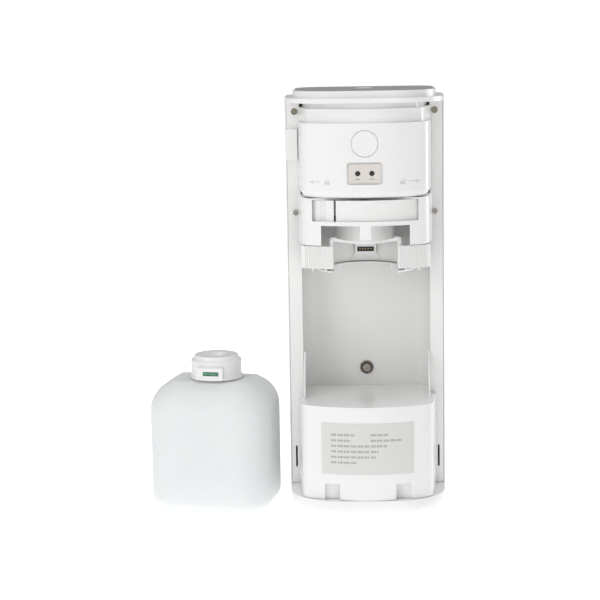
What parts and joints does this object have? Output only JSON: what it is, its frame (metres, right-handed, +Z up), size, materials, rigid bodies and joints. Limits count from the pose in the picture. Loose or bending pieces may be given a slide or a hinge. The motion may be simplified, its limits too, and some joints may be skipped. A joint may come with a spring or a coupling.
{
  "type": "scent diffuser tower with refill bottle",
  "caption": "Wall or desk scent diffuser tower with its front cover off, showing the bottle bay, lock collar and controls, with the refill bottle standing beside it.",
  "frame": {"origin": "middle of the base pad, on the surface the tower stands on", "axes": "+X to the right seen from the open service side, -Y out of the service side, +Z up"},
  "size_m": [0.2536, 0.1291, 0.361],
  "materials": {
    "painted_steel": "powder coat, fine texture",
    "white_plastic": "satin moulded plastic",
    "gloss_white": "smooth moulded plastic",
    "grey_plastic": "satin",
    "beige_plate": "printed plate",
    "label_film": "printed film",
    "black_plastic": "satin",
    "rubber_black": "matt",
    "silicone": "soft",
    "nickel": "turned",
    "magnet": "plated",
    "circuit_green": "solder mask",
    "bottle_plastic": "translucent, frosted",
    "motor_steel": "drawn can",
    "brass_pin": "turned"
  },
  "bodies": {
    "tower": {"rear_shell": "painted_steel", "trough": "white_plastic", "lower_housing": "gloss_white", "base_cap": "gloss_white", "base_pad": "rubber_black", "lid": "gloss_white", "lid_inlay": "grey_plastic", "outlet_nozzle": "white_plastic", "upper_housing": "gloss_white", "round_plug": "gloss_white", "control_plate": "beige_plate", "control_board": "circuit_green", "dock_bracket": "gloss_white", "dock_shroud": "white_plastic", "atomizer_head": "white_plastic", "dock_gasket": "silicone", "dock_back": "white_plastic", "socket_housing": "white_plastic", "contact_socket": "black_plastic", "contact_pins": "brass_pin", "label_plate": "label_film", "cover_magnets": "magnet", "flange_screws": "nickel", "cover_latch": "white_plastic", "cup_washer": "nickel", "wall_screw": "nickel", "air_pump": "black_plastic", "pump_motor": "motor_steel", "air_hose": "silicone", "main_board": "circuit_green", "board_posts": "white_plastic", "fan_frame": "black_plastic", "power_inlet": "black_plastic", "inlet_pin": "brass_pin"},
    "collar": {"lock_collar": "white_plastic"},
    "button_left": {"button_left": "black_plastic"},
    "button_right": {"button_right": "black_plastic"},
    "pump_crank": {"pump_crank": "nickel"},
    "fan_rotor": {"fan_rotor": "black_plastic"},
    "bottle": {"bottle": "bottle_plastic", "dip_tube": "silicone"},
    "bottle_cap": {"bottle_cap": "gloss_white", "contact_board": "circuit_green", "cap_gasket": "silicone"}
  },
  "joints": [
    {"name": "collar_turn", "type": "hinge", "parent": "tower", "child": "collar", "pos_m": [0, -0.008, 0.22], "axis": [0, 0, -1], "range_deg": [0, 20]},
    {"name": "button_left_press", "type": "slide", "parent": "tower", "child": "button_left", "axis": [0, 1, 0], "range_m": [0, 0.0006], "stiffness_N_per_m": 800},
    {"name": "button_right_press", "type": "slide", "parent": "tower", "child": "button_right", "axis": [0, 1, 0], "range_m": [0, 0.0006], "stiffness_N_per_m": 800},
    {"name": "pump_turn", "type": "hinge", "parent": "tower", "child": "pump_crank", "pos_m": [0, 0.0123, 0.294], "axis": [0, 1, 0], "continuous": true},
    {"name": "fan_turn", "type": "hinge", "parent": "tower", "child": "fan_rotor", "pos_m": [0, 0, 0.33], "axis": [0, 0, 1], "continuous": true},
    {"name": "bottle_lift", "type": "slide", "parent": "tower", "child": "bottle", "axis": [0, 0, 1], "range_m": [0, 0.15]},
    {"name": "cap_turn", "type": "hinge", "parent": "bottle", "child": "bottle_cap", "pos_m": [-0.131, 0.004, 0.12], "axis": [0, 0, 1], "range_deg": [0, 90]}
  ]
}
